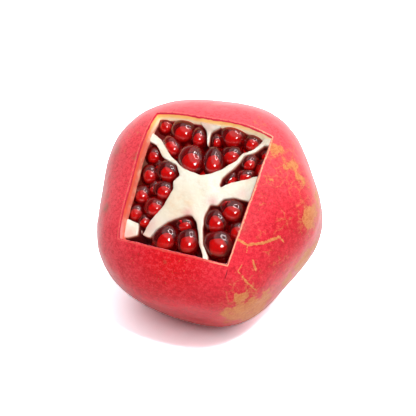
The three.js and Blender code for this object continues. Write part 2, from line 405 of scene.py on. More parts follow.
RUSSET_PATCHES = (  # centre, size, weight
    ((27.0, -36.0, 5.0), 10.5, 1.16),
    ((32.5, -31.0, 2.0), 7.5, 1.1),
    ((26.0, -33.5, 14.0), 7.0, 0.92),
    ((29.0, -35.0, -5.0), 9.5, 1.1),
    ((43.6, 3.2, 13.8), 7.5, 1.14),
    ((43.1, 11.2, 8.6), 7.0, 0.92),
    ((42.0, -10.8, -2.3), 7.0, 1.25),
    ((37.9, -19.1, -2.6), 6.0, 1.15),
    ((44.7, -3.2, -1.9), 6.0, 0.9),
    ((26.1, 20.8, 26.1), 5.6, 0.76),
    ((32.4, 17.3, 23.2), 7.0, 0.86),
    ((37.1, 13.2, 20.9), 6.0, 0.82),
    ((29.0, 8.1, 28.7), 4.2, 0.56),
    ((17.2, 28.8, 27.1), 4.5, 0.56),
    ((37.0, -4.0, 22.0), 4.5, 0.48),
    ((-2.0, 35.0, 22.0), 6.0, 0.4),
    ((-30.0, 12.0, 27.0), 6.0, 0.4),
    ((-36.0, -10.0, 20.0), 7.0, 0.42),
    ((10.0, 10.0, -38.0), 18.0, 0.6),
    ((-40.0, 20.0, -8.0), 12.0, 0.55),
)
RUSSET_STROKES = (  # from, to, half width
    ((23.5, -16.5, 28.2), (27.0, -17.2, 26.6), 0.54),
    ((27.0, -17.2, 26.6), (31.0, -15.0, 24.5), 0.75),
    ((31.0, -15.0, 24.5), (36.0, -10.0, 21.5), 0.82),
    ((36.0, -10.0, 21.5), (38.5, -11.5, 18.5), 0.48),
    ((27.0, -17.2, 26.6), (27.2, -20.0, 25.8), 0.48),
    ((22.5, -26.4, 25.2), (25.5, -26.6, 23.6), 0.44),
    ((25.5, -26.6, 23.6), (29.0, -29.0, 19.0), 0.51),
    ((29.0, -29.0, 19.0), (32.0, -29.5, 12.0), 0.41),
    ((25.5, -26.6, 23.6), (26.5, -24.6, 24.4), 0.34),
    ((29.0, -21.0, 23.0), (31.5, -24.5, 19.5), 0.61),
    ((22.0, -33.0, 19.0), (23.5, -38.0, 10.0), 0.61),
    ((16.0, -37.0, 16.0), (22.0, -40.0, 8.0), 0.41),
    ((30.0, -34.0, 9.0), (30.0, -37.0, 3.0), 0.61),
    ((-13.2, -33.1, 25.1), (-13.0, -36.5, 20.0), 0.31),
    ((6.0, -41.0, 14.0), (11.0, -42.0, 11.0), 0.34),
    ((31.0, -2.0, 27.0), (34.0, -3.0, 25.0), 0.41),
    ((34.0, 4.0, 25.5), (36.0, 0.0, 23.5), 0.41),
    ((26.0, -6.0, 28.6), (28.5, -8.0, 27.4), 0.34),
)
BRUISES = (  # centre, size, weight
    ((28.5, 33.5, 11.3), 2.4, 1.0),
    ((-30.9, -15.3, 24.7), 1.9, 0.9),
    ((-31.8, -10.5, 24.7), 1.1, 0.5),
    ((-23.7, 5.4, 30.8), 1.6, 0.7),
    ((-34.5, 8.1, 25.2), 2.4, 0.6),
    ((-34.5, 24.8, 19.5), 2.2, 0.4),
    ((16.2, 40.7, 13.8), 1.0, 0.5),
    ((-0.4, -30.9, 27.9), 0.8, 0.5),
    ((24.0, -12.0, 29.0), 2.4, 0.3),
)
DEEP_RED = ((2.0, -31.0, 27.0), 13.0, 0.9)  # centre, size, weight
KNIFE_OVERCUT = ((22.6, -26.6, 26.6), (22.0, -31.0, 24.2), 0.34)  # from, to, half width


def blush_and_painted_sheen(bench, place, axes, fine):
    """The skin's reds: deepest under the window; paler and pinker towards the crown, the far side and the
    left, which is painted sheen; with fine flecks.
    """
    broad = mottling(bench, place, 15.0, 1.5, 0.4)
    colour = bench.mix(broad, srgb(188, 8, 26), srgb(218, 36, 54))
    # Painted sheen: the skin is made pinker towards the crown.
    crown = bench.smooth(axes[2], -6.0, 34.0)
    colour = bench.mix(bench.math("MULTIPLY", crown, 0.3), colour, srgb(218, 50, 66))
    # Painted sheen: paler pink high on the far side and towards the left.
    far_and_high_sheen = bench.smooth(axes[1], -8.0, 40.0), bench.smooth(axes[2], -24.0, 16.0, 0.2, 0.8)
    far_sheen_mask = bench.math("MULTIPLY", *far_and_high_sheen)
    left_sheen_mask = bench.smooth(axes[0], -4.0, -40.0, 0.0, 0.5)
    colour = bench.mix(bench.math("MAXIMUM", far_sheen_mask, left_sheen_mask), colour, srgb(240, 92, 102))
    deep_red = patches(bench, place, (DEEP_RED,))
    colour = bench.mix(deep_red, colour, srgb(212, 0, 10))
    pale_fleck = bench.math("MULTIPLY", bench.smooth(fine, 0.5, 0.95), 0.34)
    colour = bench.mix(pale_fleck, colour, srgb(228, 86, 92))
    dark_fleck = bench.math("MULTIPLY", bench.smooth(fine, 0.55, 0.05), 0.42)
    return bench.mix(dark_fleck, colour, srgb(150, 4, 20))


def russet_masks(bench, place, axes, fine):
    """Where the skin is russet for certain, and the wider field that fades out round it."""
    warp = bench.noise(place, 3.2, 5.0, 0.65, colour=True)
    push = bench.scaled(bench.vector("SUBTRACT", warp, (0.5, 0.5, 0.5)), 5.0)
    bent = bench.vector("ADD", place, push)
    slight = bench.vector("ADD", place, bench.scaled(push, 0.22))

    ragged = bench.noise(bent, 5.0, 8.0, 0.64)
    weight = patches(bench, bent, RUSSET_PATCHES)
    field = bench.math("MULTIPLY_ADD", bench.math("SUBTRACT", ragged, 0.5), 2.3, weight)
    solid = bench.smooth(field, 0.69, 0.77)
    cracks = bench.node("ShaderNodeTexVoronoi", {"Vector": bent, "Scale": 0.2}, feature="DISTANCE_TO_EDGE")
    near_crack = bench.smooth(cracks.outputs["Distance"], 0.06, 0.015)
    cracked_side = bench.smooth(axes[0], 8.0, 34.0, 0.0, 0.32)
    crack_zone = bench.smooth(bench.math("ADD", field, cracked_side), 0.38, 0.62)
    net = bench.math("MULTIPLY", near_crack, crack_zone)
    lines = strokes(bench, slight, RUSSET_STROKES)
    broken = bench.math("MULTIPLY_ADD", bench.math("SUBTRACT", fine, 0.5), 0.5, lines)
    line_mask = bench.math("MULTIPLY", bench.smooth(broken, 0.12, 0.42), bench.smooth(lines, 0.0, 0.1))
    patched = bench.math("MAXIMUM", solid, bench.math("MULTIPLY", net, 0.45))
    return bench.math("MAXIMUM", patched, line_mask), field, slight


def speck_masks(bench, place):
    """Small round specks in some places, and a random value for each."""
    specks = bench.node("ShaderNodeTexVoronoi", {"Vector": place, "Scale": 0.9, "Randomness": 1.0})
    pick = bench.node("ShaderNodeSeparateColor", {0: specks.outputs["Color"]}).outputs
    spread = bench.noise(place, 11.0, 3.0)
    near = bench.smooth(specks.outputs["Distance"], 0.14, 0.26, 1.0, 0.0)
    chosen = bench.math("MULTIPLY", bench.smooth(spread, 0.42, 0.66), bench.smooth(pick[0], 0.3, 0.5))
    return bench.math("MULTIPLY", near, chosen), pick[1]


def skin_material():
    material, bench, out = new_material(
        "waxy red skin", Specular_IOR_Level=0.14, Coat_Roughness=0.3, Sheen_Weight=0.05, Sheen_Roughness=0.4
    )
    place = fruit_place(bench)
    axes = bench.node("ShaderNodeSeparateXYZ", {0: place}).outputs
    fine = mottling(bench, place, 1.3, 0.5, 0.5)
    colour = blush_and_painted_sheen(bench, place, axes, fine)

    russet, field, slight = russet_masks(bench, place, axes, fine)
    haze = bench.math("MULTIPLY", bench.smooth(field, 0.25, 0.75), bench.smooth(fine, 0.35, 0.8))
    colour = bench.mix(bench.math("MULTIPLY", haze, 0.5), colour, srgb(180, 86, 58))
    tan = bench.mix(fine, srgb(190, 106, 58), srgb(214, 146, 88))
    colour = bench.mix(bench.math("MULTIPLY", russet, 0.88), colour, tan)

    speck, pick = speck_masks(bench, place)
    speck_tone = bench.mix(pick, srgb(186, 126, 78), srgb(112, 66, 46))
    colour = bench.mix(bench.math("MULTIPLY", speck, 0.62), colour, speck_tone)
    bruise = bench.math("MULTIPLY", patches(bench, slight, BRUISES), bench.smooth(fine, 0.1, 0.7))
    colour = bench.mix(bruise, colour, srgb(104, 92, 60))

    # The knife overcut is a dark line: painted shade inside the slit, with a groove in the bump below.
    slit = bench.smooth(strokes(bench, place, (KNIFE_OVERCUT,)), 0.05, 0.5)
    colour = bench.mix(slit, colour, srgb(60, 6, 12))
    reach = bench.node("ShaderNodeAttribute", attribute_name="from_cut").outputs["Fac"]
    reach = bench.math("MULTIPLY_ADD", bench.math("SUBTRACT", fine, 0.5), 0.5, reach)
    pale_side = bench.smooth(axes[0], 12.0, 22.0, 0.15, 0.8)
    pale = bench.math("MULTIPLY", bench.smooth(reach, 0.95, 0.55), pale_side)
    colour = bench.mix(pale, colour, srgb(240, 176, 140))
    colour = bench.mix(bench.smooth(reach, 0.4, 0.15, 0.0, 0.8), colour, srgb(196, 30, 62))
    bench.feed(out["Base Color"], colour)

    rough = bench.math("MULTIPLY_ADD", russet, 0.15, 0.5)
    bench.feed(out["Roughness"], bench.math("MULTIPLY_ADD", fine, 0.1, rough))
    grazing = bench.node("ShaderNodeLayerWeight", {"Blend": 0.5}).outputs["Facing"]
    wax = bench.smooth(grazing, 0.3, 0.85, 0.05, 1.0)
    bench.feed(out["Coat Weight"], bench.math("MULTIPLY", wax, bench.math("MULTIPLY_ADD", russet, -0.4, 1.0)))
    pores = bench.noise(place, 0.9, 4.0)
    relief = bench.math("MULTIPLY_ADD", russet, 0.6, pores)
    relief = bench.math("SUBTRACT", relief, bench.math("MULTIPLY", speck, 0.35))
    relief = bench.math("SUBTRACT", relief, bench.math("MULTIPLY", slit, 3.0))
    bump = bench.node("ShaderNodeBump", {"Strength": 0.4, "Distance": 0.00025, "Height": relief})
    bench.feed(out["Normal"], bump.outputs[0])
    return material


def cut_rind_material():
    """The knife-cut wall: a crimson line of skin over orange and cream flesh; the golden far side also glows
    a little, which is painted light.
    """
    material, bench, out = new_material(
        "cut rind", Coat_Weight=0.15, Coat_Roughness=0.3, Roughness=0.45, Emission_Strength=0.3
    )
    place = fruit_place(bench)
    axes = bench.node("ShaderNodeSeparateXYZ", {0: place}).outputs
    deep = bench.node("ShaderNodeAttribute", attribute_name="cut_depth").outputs["Fac"]
    uneven = bench.math("MULTIPLY_ADD", bench.math("SUBTRACT", bench.noise(place, 2.4, 4.0), 0.5), 1.0, deep)
    golden_side_and_glow = bench.smooth(axes[1], 12.0, 24.0)
    cream_side = bench.smooth(axes[0], 8.0, 20.0)
    flesh = bench.mix(golden_side_and_glow, srgb(238, 96, 70), srgb(255, 196, 116))
    flesh = bench.mix(cream_side, flesh, srgb(236, 212, 170))
    flesh = bench.mix(bench.smooth(axes[1], -16.0, -23.0, 0.0, 0.8), flesh, srgb(238, 150, 148))
    inner = bench.mix(golden_side_and_glow, srgb(232, 112, 94), srgb(255, 232, 196))
    inner = bench.mix(cream_side, inner, srgb(234, 220, 190))
    streaky = bench.noise(place, 3.5, 4.0)
    inner = bench.mix(bench.smooth(streaky, 0.45, 0.7, 0.0, 0.5), inner, srgb(234, 208, 166))
    colour = bench.mix(bench.smooth(uneven, 0.5, 1.1), srgb(200, 24, 56), flesh)
    colour = bench.mix(bench.smooth(uneven, 1.6, 3.2), colour, inner)
    sunken = bench.math("MULTIPLY", bench.smooth(uneven, 3.4, 4.4), golden_side_and_glow)
    colour = bench.mix(sunken, colour, srgb(168, 52, 52))
    bench.feed(out["Base Color"], colour)
    # Painted light: the golden far wall glows in its own colour, though it is no lamp.
    bench.feed(out["Emission Color"], bench.mix(golden_side_and_glow, (0.0, 0.0, 0.0, 1.0), colour))
    fibres = bench.noise(place, 0.5, 4.0)
    bump = bench.node("ShaderNodeBump", {"Strength": 0.5, "Distance": 0.0003, "Height": fibres})
    bench.feed(out["Normal"], bump.outputs[0])
    return material


YELLOW_TINT = ((-2.0, -8.5, 27.0), 7.0, 0.75)  # centre, size, weight
PINK_TINTS = (  # centre, size, weight
    ((-23.0, 18.8, 23.3), 4.2, 0.75),
    ((1.8, -10.9, 27.0), 2.0, 1.0),
    ((9.7, -4.6, 27.0), 2.0, 1.0),
    ((18.9, 1.0, 25.9), 2.6, 0.6),
    ((-11.8, -18.0, 25.4), 3.4, 0.7),
    ((-2.3, 25.1, 24.5), 3.4, 0.9),
    ((-19.5, -22.8, 23.5), 2.4, 0.9),
    ((8.8, -24.0, 25.5), 2.0, 0.5),
)


def pith_material():
    """White core and septa, with yellow and pink tints, and painted shade that darkens the pocket walls and
    floors.
    """
    material, bench, out = new_material(
        "cream pith", Coat_Weight=0.08, Coat_Roughness=0.35, Subsurface_Weight=0.12, Subsurface_Scale=0.0006
    )
    out["Subsurface Radius"].default_value = (1.0, 0.65, 0.4)
    place = fruit_place(bench)
    soft = mottling(bench, place, 4.0, 0.8, 0.35)
    colour = bench.mix(soft, srgb(212, 203, 182), srgb(220, 216, 204))
    yellow = patches(bench, place, (YELLOW_TINT,))
    colour = bench.mix(bench.math("MULTIPLY", yellow, soft), colour, srgb(206, 170, 122))
    pink = patches(bench, place, PINK_TINTS)
    inward = bench.node("ShaderNodeAttribute", attribute_name="from_rim").outputs["Fac"]
    rim = bench.smooth(inward, 1.6, 0.0)
    patchy = bench.smooth(bench.noise(place, 3.0, 3.0), 0.4, 0.6)
    pink = bench.math("MAXIMUM", pink, bench.math("MULTIPLY", bench.math("MULTIPLY", rim, patchy), 0.35))
    colour = bench.mix(bench.math("MULTIPLY", pink, 0.6), colour, srgb(206, 132, 132))
    # Painted shade: down the pocket walls the colour darkens to deep red, darkest on the floors.
    deep = bench.node("ShaderNodeAttribute", attribute_name="below_rim").outputs["Fac"]
    colour = bench.mix(bench.smooth(deep, 0.35, 1.1), colour, srgb(196, 112, 92))
    colour = bench.mix(bench.smooth(deep, 0.9, 2.6), colour, srgb(118, 14, 20))
    bench.feed(out["Base Color"], colour)
    bench.feed(out["Roughness"], bench.math("MULTIPLY_ADD", soft, 0.15, 0.42))
    fibres = bench.noise(place, 0.8, 4.0)
    bump = bench.node("ShaderNodeBump", {"Strength": 0.4, "Distance": 0.0003, "Height": fibres})
    bench.feed(out["Normal"], bump.outputs[0])
    return material


def aril_materials():
    """The juicy sac, which light goes through, and the body inside it, painted lighter towards its top and
    given a red glow of its own as painted light.
    """
    sac, bench, out = new_material(
        "ruby juice sac", Transmission_Weight=0.86, IOR=1.38, Roughness=0.04, Base_Color=srgb(176, 6, 14),
        Coat_Weight=0.7, Coat_IOR=1.5, Coat_Roughness=0.04,
    )
    kernel, bench, out = new_material("red kernel", Roughness=0.5, Emission_Strength=0.5)
    place = fruit_place(bench)
    tone = bench.noise(place, 2.0, 3.0)
    # Painted light: the kernel is lighter towards its top, dark red at its foot, and glows though it is no
    # lamp.
    height = bench.node("ShaderNodeAttribute", attribute_name="kernel_height").outputs["Fac"]
    glow = bench.smooth(height, 0.35, 0.97)
    lit = bench.mix(tone, srgb(250, 70, 46), srgb(255, 124, 92))
    bench.feed(out["Base Color"], bench.mix(glow, srgb(120, 8, 10), lit))
    lit = bench.mix(tone, srgb(255, 40, 20), srgb(255, 80, 48))
    bench.feed(out["Emission Color"], bench.mix(glow, srgb(70, 0, 2), lit))
    return sac, kernel


def stem_material():
    material, bench, out = new_material("dry woody stem", Specular_IOR_Level=0.3)
    place = fruit_place(bench)
    streaks = bench.noise(bench.vector("MULTIPLY", place, (1.0, 1.0, 0.15)), 0.6, 5.0)
    bench.feed(out["Base Color"], bench.mix(streaks, srgb(92, 58, 38), srgb(168, 124, 84)))
    bench.feed(out["Roughness"], bench.math("MULTIPLY_ADD", streaks, 0.2, 0.65))
    bump = bench.node("ShaderNodeBump", {"Strength": 0.8, "Distance": 0.0004, "Height": streaks})
    bench.feed(out["Normal"], bump.outputs[0])
    return material


SKIN = skin_material()
CUT_RIND = cut_rind_material()
PITH = pith_material()
SAC, KERNEL = aril_materials()
WOOD = stem_material()

# ---- Peel ----------------------------------------------------------------------------------------
SIDE_COLUMNS = 84  # columns of faces along each side of the window
NEAR_STEPS = (0.3, 0.5, 0.8, 1.2, 1.7, 2.3)  # close rows on the skin beside the cut edge
OUTER_ROWS = 150
INNER_ROWS = 46
WALL_STEPS = 12
EDGE_ROUND = 0.45  # how far the cut edge is rounded over
WALL_LENGTH = 5.0  # how far the cut walls run down into the fruit
INSIDE_START = 1.2  # how far behind the foot of a wall the inner side begins
REST_ROUND = 0.8  # height of the soft bend round the flat resting spot


def unit(vector):
    return vector / np.linalg.norm(vector)


def on_cut_pyramid(corner, level):
    """Where the knife line through a window corner passes a level."""
    point = np.array((*corner, WINDOW_LEVEL))
    return CUT_APEX + (point - CUT_APEX) * (level - CUT_APEX[2]) / (WINDOW_LEVEL - CUT_APEX[2])


def window_edge():
    """Points along the cut edge of the skin, counter-clockwise seen from the crown."""
    edge = []
    for i, corner in enumerate(WINDOW_CORNERS):
        start = on_cut_pyramid(corner, WINDOW_LEVEL)
        end = on_cut_pyramid(WINDOW_CORNERS[(i + 1) % 4], WINDOW_LEVEL)
        side = unit(end - start)
        across = np.array((-side[1], side[0], 0.0))
        for k in range(SIDE_COLUMNS):
            share = k / SIDE_COLUMNS
            target = start + (end - start) * share
            wander = 0.22 * wave(target, 7.0, 3.1) + 0.07 * wave(target, 1.6, 5.2)
            target = target + across * wander * min(1.0, 8 * min(share, 1 - share))
            begin = CUT_APEX + (target - CUT_APEX) * 0.8
            edge.append(skin_beyond(begin, target - CUT_APEX))
    return np.array(edge)


def meridian(azimuth, polar):
    """The skin point in that direction from the fruit's middle."""
    direction = (math.sin(polar) * math.cos(azimuth), math.sin(polar) * math.sin(azimuth), math.cos(polar))
    return skin_beyond((0.0, 0.0, 0.0), direction)


def peel_section(corner):
    """One section through the peel at a point of the cut edge: inner side, cut wall, rounded edge, skin."""
    azimuth = math.atan2(corner[1], corner[0])
    reach = np.linalg.norm(corner)
    polar = math.acos(corner[2] / reach)
    angles = [polar + step / reach for step in NEAR_STEPS]
    last = angles[-1]
    angles += [last + (math.pi - last) * (k + 1) / (OUTER_ROWS + 1) for k in range(OUTER_ROWS)]
    outside = [meridian(azimuth, angle) for angle in angles]

    downhill = unit(outside[1] - corner)
    inwards = unit(CUT_APEX - corner)
    first, second = corner + inwards * EDGE_ROUND, corner + downhill * EDGE_ROUND
    rounding = []
    for share in (0.0, 0.25, 0.5, 0.75):
        rounding.append((1 - share) ** 2 * first + 2 * share * (1 - share) * corner + share**2 * second)

    away = unit(np.array((corner[0], corner[1], 0.0)))
    wall = []
    for k in range(WALL_STEPS):
        share = 1 - k / WALL_STEPS
        spot = corner + inwards * (EDGE_ROUND + (WALL_LENGTH - EDGE_ROUND) * share)
        wall.append(spot + away * (0.16 * wave(spot, 3.0, 1.3) + 0.08 * wave(spot, 0.9, 2.7)))

    foot = wall[0]
    foot_reach = np.linalg.norm(foot)
    foot_polar = math.acos(foot[2] / foot_reach)
    start_polar = foot_polar + INSIDE_START / foot_reach
    gap = np.linalg.norm(meridian(azimuth, foot_polar)) - foot_reach
    inside = []
    for k in range(INNER_ROWS):
        share = k / INNER_ROWS
        skin_point = meridian(azimuth, start_polar + (math.pi - start_polar) * share)
        thick = PEEL + (gap - PEEL) * max(0.0, 1 - share * 6)
        inside.append(skin_point * (1 - thick / np.linalg.norm(skin_point)))
    return inside[::-1] + wall + rounding + outside


def rested(points):
    """The peel pressed flat where it stands, with a soft bend round the flat."""
    settled = to_shared(points) / MM
    lift = np.clip(0.5 - 0.5 * settled[:, 2] / REST_ROUND, 0, 1)
    settled[:, 2] = settled[:, 2] * (1 - lift) + REST_ROUND * lift * (1 - lift)
    settled[:, 2] = np.maximum(settled[:, 2], 0.0)
    return (settled - STAND) @ TILT


def peel_piece():
    """Skin outside, knife-cut walls round the window and the inner side, as one closed shell."""
    profiles = [peel_section(corner) for corner in window_edge()]
    columns, rows = len(profiles), len(profiles[0])
    points = np.array(profiles).transpose(1, 0, 2).reshape(-1, 3)
    faces, kinds = [], []
    wall_first, wall_last = INNER_ROWS - 1, INNER_ROWS + WALL_STEPS + 1
    for row in range(rows - 1):
        for column in range(columns):
            following = (column + 1) % columns
            faces.append((
                row * columns + column, (row + 1) * columns + column,
                (row + 1) * columns + following, row * columns + following,
            ))
            kinds.append(0 if row > wall_last else 1)
    stem_end = meridian(0.0, math.pi)
    poles = np.array([stem_end * (1 - PEEL / np.linalg.norm(stem_end)), stem_end])
    inner_pole, outer_pole = len(points), len(points) + 1
    last_row = (rows - 1) * columns
    for column in range(columns):
        following = (column + 1) % columns
        faces.append((inner_pole, column, following))
        kinds.append(1)
        faces.append((last_row + column, outer_pole, last_row + following))
        kinds.append(0)
    points = np.vstack((points, poles))
    depth = np.zeros(len(points))
    for row in range(rows):
        below = wall_last - row
        if 0 < below:
            share = min(1.0, below / (wall_last - wall_first))
            depth[row * columns:(row + 1) * columns] = WALL_LENGTH * share
    grid = points[:rows * columns].reshape(rows, columns, 3)
    from_cut = np.linalg.norm(grid - grid[wall_last], axis=2)
    from_cut[:wall_last] = 0.0
    from_cut = np.append(from_cut.ravel(), (0.0, WALL_LENGTH))
    depth[inner_pole] = WALL_LENGTH
    attributes = {"cut_depth": depth, "from_cut": from_cut}
    piece = new_piece("peel", rested(points), faces, (SKIN, CUT_RIND), kinds, attributes)
    piece.data.set_sharp_from_angle(angle=math.radians(48))
    return piece


# ---- Core and septa ------------------------------------------------------------------------------
OUTLINE_STEP = 0.4
FACE_GRID = 0.5
RIM_OFFSETS = (-0.3, -0.12, 0.12, 0.3, 0.55, -0.55)  # extra points on both sides of a pocket's rim
RIM_ROUND = 0.25
WALL_ROWS = 9
BORDER_LEVEL = 24.0  # where the knife cuts give the core's outer border
BORDER_GROWTH = 1 + 0.9 / 25.0  # the border runs this much into the rind
POCKET_LEVEL = STAR_TOP - 9.0  # where the pockets' outlines are taken
FAR_SEPTUM = ((-2.3, 25.1), 0.37, 14.5)  # its far end, its lean, and how near it is thin
UNDER_LEVEL = POCKET_FLOOR - 2.0
# FLOOR_DEPTH sets how dark the painted shade on the pocket floors is.
FLOOR_DEPTH = 12.0  # the depth that a pocket's floor counts as, for its colour
EXTRA_POCKET = (  # the dark slit round the end of the long septum, beside the lower left block
    (-22.5, -27.5), (-22.3, -25.0), (-19.0, -24.2), (-15.4, -22.7), (-16.3, -18.2), (-15.3, -17.9),
    (-14.0, -21.9), (-10.6, -22.5), (-8.0, -22.2), (-7.0, -27.5),
)


def pocket_loops(level):
    """The outlines of the pockets in the CAD husk at a level along the fruit's axis."""
    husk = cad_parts["husk"].data
    mesh = bmesh.new()
    mesh.from_mesh(husk)
    bmesh.ops.remove_doubles(mesh, verts=mesh.verts, dist=1e-7)
    for vertex in mesh.verts:
        vertex.co = Vector(to_fruit(vertex.co))
    everything = mesh.verts[:] + mesh.edges[:] + mesh.faces[:]
    cut = bmesh.ops.bisect_plane(mesh, geom=everything, plane_co=(0, 0, level), plane_no=(0, 0, 1))
    links = {}
    for part in cut["geom_cut"]:
        if isinstance(part, bmesh.types.BMEdge):
            first, second = part.verts
            links.setdefault(first, []).append(second)
            links.setdefault(second, []).append(first)
    loops = []
    while links:
        start = next(iter(links))
        loop, previous, current = [start], None, start
        while True:
            following = [v for v in links[current] if v is not previous]
            previous, current = current, following[0]
            if current is start:
                break
            loop.append(current)
        for vertex in loop:
            links.pop(vertex, None)
        loops.append(np.array([tuple(v.co.xy) for v in loop]))
    mesh.free()
    loops.sort(key=lambda loop: -np.abs(loop).max())
    return loops[1:]


def resampled(loop, step):
    """A closed outline with even steps."""
    closed = np.vstack((loop, loop[:1]))
    along = np.concatenate(([0.0], np.cumsum(np.linalg.norm(np.diff(closed, axis=0), axis=1))))
    count = max(8, int(round(along[-1] / step)))
    marks = np.arange(count) * along[-1] / count
    return np.column_stack([np.interp(marks, along, closed[:, axis]) for axis in (0, 1)])


def softened(loop, spread):
    """A closed outline with its corners rounded."""
    reach = int(math.ceil(3 * spread / OUTLINE_STEP))
    weights = np.exp(-0.5 * (np.arange(-reach, reach + 1) * OUTLINE_STEP / spread) ** 2)
    weights /= weights.sum()
    total = np.zeros_like(loop)
    for shift, weight in zip(range(-reach, reach + 1), weights):
        total += weight * np.roll(loop, shift, axis=0)
    return total


def inside_loop(points, loop):
    """Which points lie inside a closed outline."""
    result = np.zeros(len(points), bool)
    x, y = points[:, 0], points[:, 1]
    for (x1, y1), (x2, y2) in zip(loop, np.roll(loop, -1, axis=0)):
        crosses = (y1 > y) != (y2 > y)
        if crosses.any():
            result ^= crosses & (x < (x2 - x1) * (y - y1) / (y2 - y1 + 1e-12) + x1)
    return result


def nearest_of(loops):
    """A tree of the points on the outer sides of these outlines, for distances to them."""
    shown = []
    for i, loop in enumerate(loops):
        spots = resampled(loop, 0.15)
        hidden = np.zeros(len(spots), bool)
        for other in loops[:i] + loops[i + 1:]:
            hidden |= inside_loop(spots, other)
        shown.append(spots[~hidden])
    everything = np.vstack(shown)
    tree = KDTree(len(everything))
    for i, (x, y) in enumerate(everything):
        tree.insert((x, y, 0.0), i)
    tree.balance()
    return tree


def pith_outlines():
    """The core's border against the rind, and the pockets, with the far septum drawn thin."""
    border = np.array([on_cut_pyramid(corner, BORDER_LEVEL)[:2] for corner in WINDOW_CORNERS])
    middle = border.mean(0)
    border = resampled(middle + (border - middle) * BORDER_GROWTH, OUTLINE_STEP)
    (end_x, end_y), lean, thin_from = FAR_SEPTUM
    pockets = []
    for loop in (*pocket_loops(POCKET_LEVEL), np.array(EXTRA_POCKET)):
        pocket = softened(resampled(loop, OUTLINE_STEP), 0.5)
        for i, (x, y) in enumerate(pocket):
            spot = (x, y, 0.0)
            septum_x = end_x + lean * (end_y - y)
            inside_end = min(1.0, max(0.0, (end_y + 0.5 - y) / 2.5))
            if y > thin_from:
                pocket[i][0] += (septum_x - x) * 0.6 * inside_end * math.exp(-(((x - septum_x) / 3.0) ** 2))
            pocket[i] += 0.16 * np.array((wave(spot, 2.2, 7.7), wave(spot, 2.2, 9.9)))
        pockets.append(pocket)
    return border, pockets, middle


def face_points(border, pockets, border_tree, rim_tree):
    """A three-way grid of points over the core's face, closer together beside the pockets' rims."""
    grid = []
    low, high = border.min(0), border.max(0)
    line_step = FACE_GRID * 0.866
    for j in range(int((high[1] - low[1]) / line_step) + 1):
        for i in range(int((high[0] - low[0]) / FACE_GRID) + 1):
            grid.append((low[0] + (i + 0.5 * (j % 2)) * FACE_GRID, low[1] + j * line_step))
    for loop in pockets:
        normals = np.roll(loop, -1, axis=0) - np.roll(loop, 1, axis=0)
        normals = np.column_stack((normals[:, 1], -normals[:, 0]))
        normals /= np.linalg.norm(normals, axis=1)[:, None]
        for offset in RIM_OFFSETS:
            grid.extend(map(tuple, loop + normals * offset))
    grid = np.array(grid)
    in_pocket = np.zeros(len(grid), bool)
    for loop in pockets:
        in_pocket |= inside_loop(grid, loop)
    kept = []
    for spot, pocketed, bordered in zip(grid, in_pocket, inside_loop(grid, border)):
        if not bordered or border_tree.find((*spot, 0.0))[2] < 0.15:
            continue
        if pocketed or rim_tree.find((*spot, 0.0))[2] < 0.1:
            continue
        if any((spot[0] - x) ** 2 + (spot[1] - y) ** 2 < 0.02 for x, y in kept[-3:]):
            continue
        kept.append(tuple(spot))
    return kept


def face_triangles(border, pockets, kept):
    """The face and the pockets' floors in plan: points, triangles, and which triangles are floor."""
    outlines = (border, *pockets)
    spots = [Vector(p) for loop in outlines for p in loop] + [Vector(p) for p in kept]
    edges, first = [], 0
    for loop in outlines:
        count = len(loop)
        edges += [(first + i, first + (i + 1) % count) for i in range(count)]
        first += count
    flat, _, triangles = delaunay_2d_cdt(spots, edges, [], 0, 1e-4)[:3]
    flat = np.array([tuple(v) for v in flat])
    triangles = np.array(triangles)
    centres = flat[triangles].mean(1)
    within = inside_loop(centres, border)
    pocketed = np.zeros(len(triangles), bool)
    for loop in pockets:
        pocketed |= inside_loop(centres, loop)
    triangles, pocketed = triangles[within], pocketed[within]
    a, b, c = flat[triangles[:, 0]], flat[triangles[:, 1]], flat[triangles[:, 2]]
    backwards = np.cross(b - a, c - a) < 0
    triangles[backwards] = triangles[backwards][:, ::-1]
    return flat, triangles, pocketed


def face_height(x, y, to_rim, to_border):
    """The core's domed face, rising to the rind at its border and rounded over at a pocket's rim."""
    spot = (x, y, 0.0)
    face = STAR_TOP - STAR_FALL * (x * x + y * y)
    face += (1.3 + 0.9 * min(1.0, max(0.0, (y - 8) / 12))) * math.exp(-((to_border / 2.8) ** 2))
    face += 0.35 * wave(spot, 5.0, 4.4) + 0.08 * wave(spot, 1.3, 6.1) + 0.5 * (1 - math.exp(-to_rim / 2.5))
    over = max(0.0, RIM_ROUND - to_rim)
    return face - (RIM_ROUND - math.sqrt(max(0.0, RIM_ROUND**2 - over**2)))


